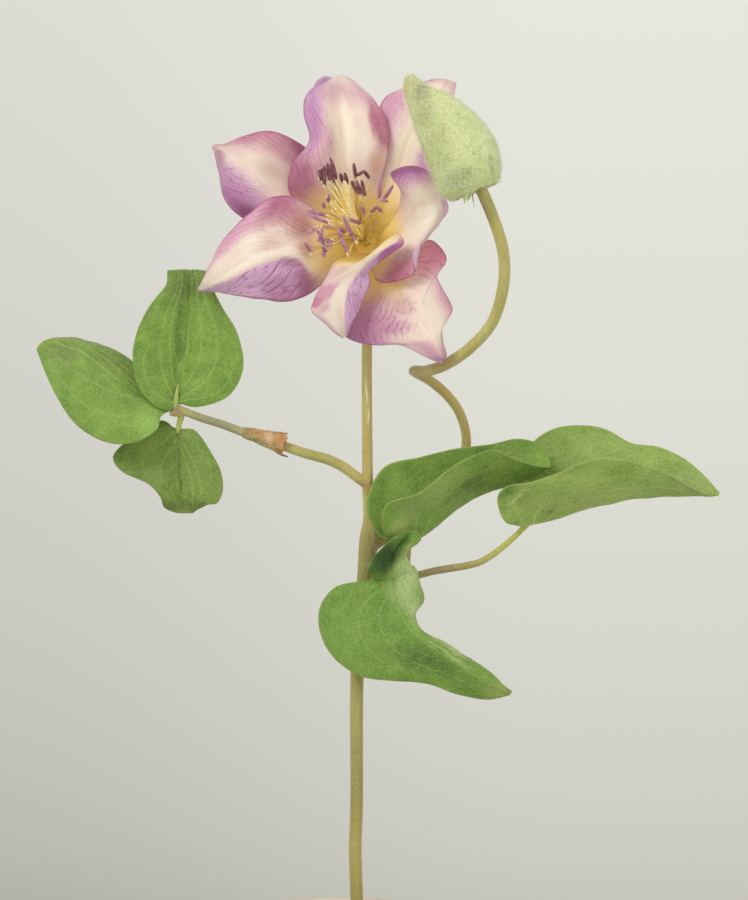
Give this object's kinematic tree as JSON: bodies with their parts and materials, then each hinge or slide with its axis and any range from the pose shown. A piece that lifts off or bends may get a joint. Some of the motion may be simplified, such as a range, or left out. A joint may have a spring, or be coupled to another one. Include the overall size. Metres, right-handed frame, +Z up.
{
  "type": "potted clematis",
  "caption": "Flowering climbing plant in a plain clay pot: an upright stem with an open pink and cream bloom, a downy bud on a looping stalk and soft green leaflets.",
  "frame": {"origin": "middle of the pot's flat base, on the surface it stands on", "axes": "+Z up along the stem, +X to the right of the open flower, -Y the way the flower faces"},
  "size_m": [0.246, 0.116, 0.4138],
  "materials": {
    "clay": "unglazed terracotta, matt, slightly dusty",
    "soil": "crumbly potting mix, matt",
    "stalk": "smooth to downy green stalk",
    "sepal": "soft satin petal, pink at the margins and cream in the middle",
    "stamen": "golden threads with maroon heads",
    "leaf": "downy leaf with pale veins",
    "bud": "pale green, covered in short down",
    "papery": "dry papery skin, ragged at its edge"
  },
  "bodies": {
    "root": {"pot": "clay", "soil": "soil", "stem": "stalk", "sepal_top": "sepal", "sepal_upper_right": "sepal", "sepal_right": "sepal", "sepal_lower_right": "sepal", "sepal_bottom": "sepal", "sepal_lower_left": "sepal", "sepal_upper_left": "sepal", "stamens": "stamen", "leaflet_left_upper": "leaf", "leaflet_left_outer": "leaf", "leaflet_left_lower": "leaf", "leaflet_right_inner": "leaf", "leaflet_right_outer": "leaf", "leaflet_right_lower": "leaf", "bud": "bud", "dry_sheath": "papery"}
  },
  "joints": []
}
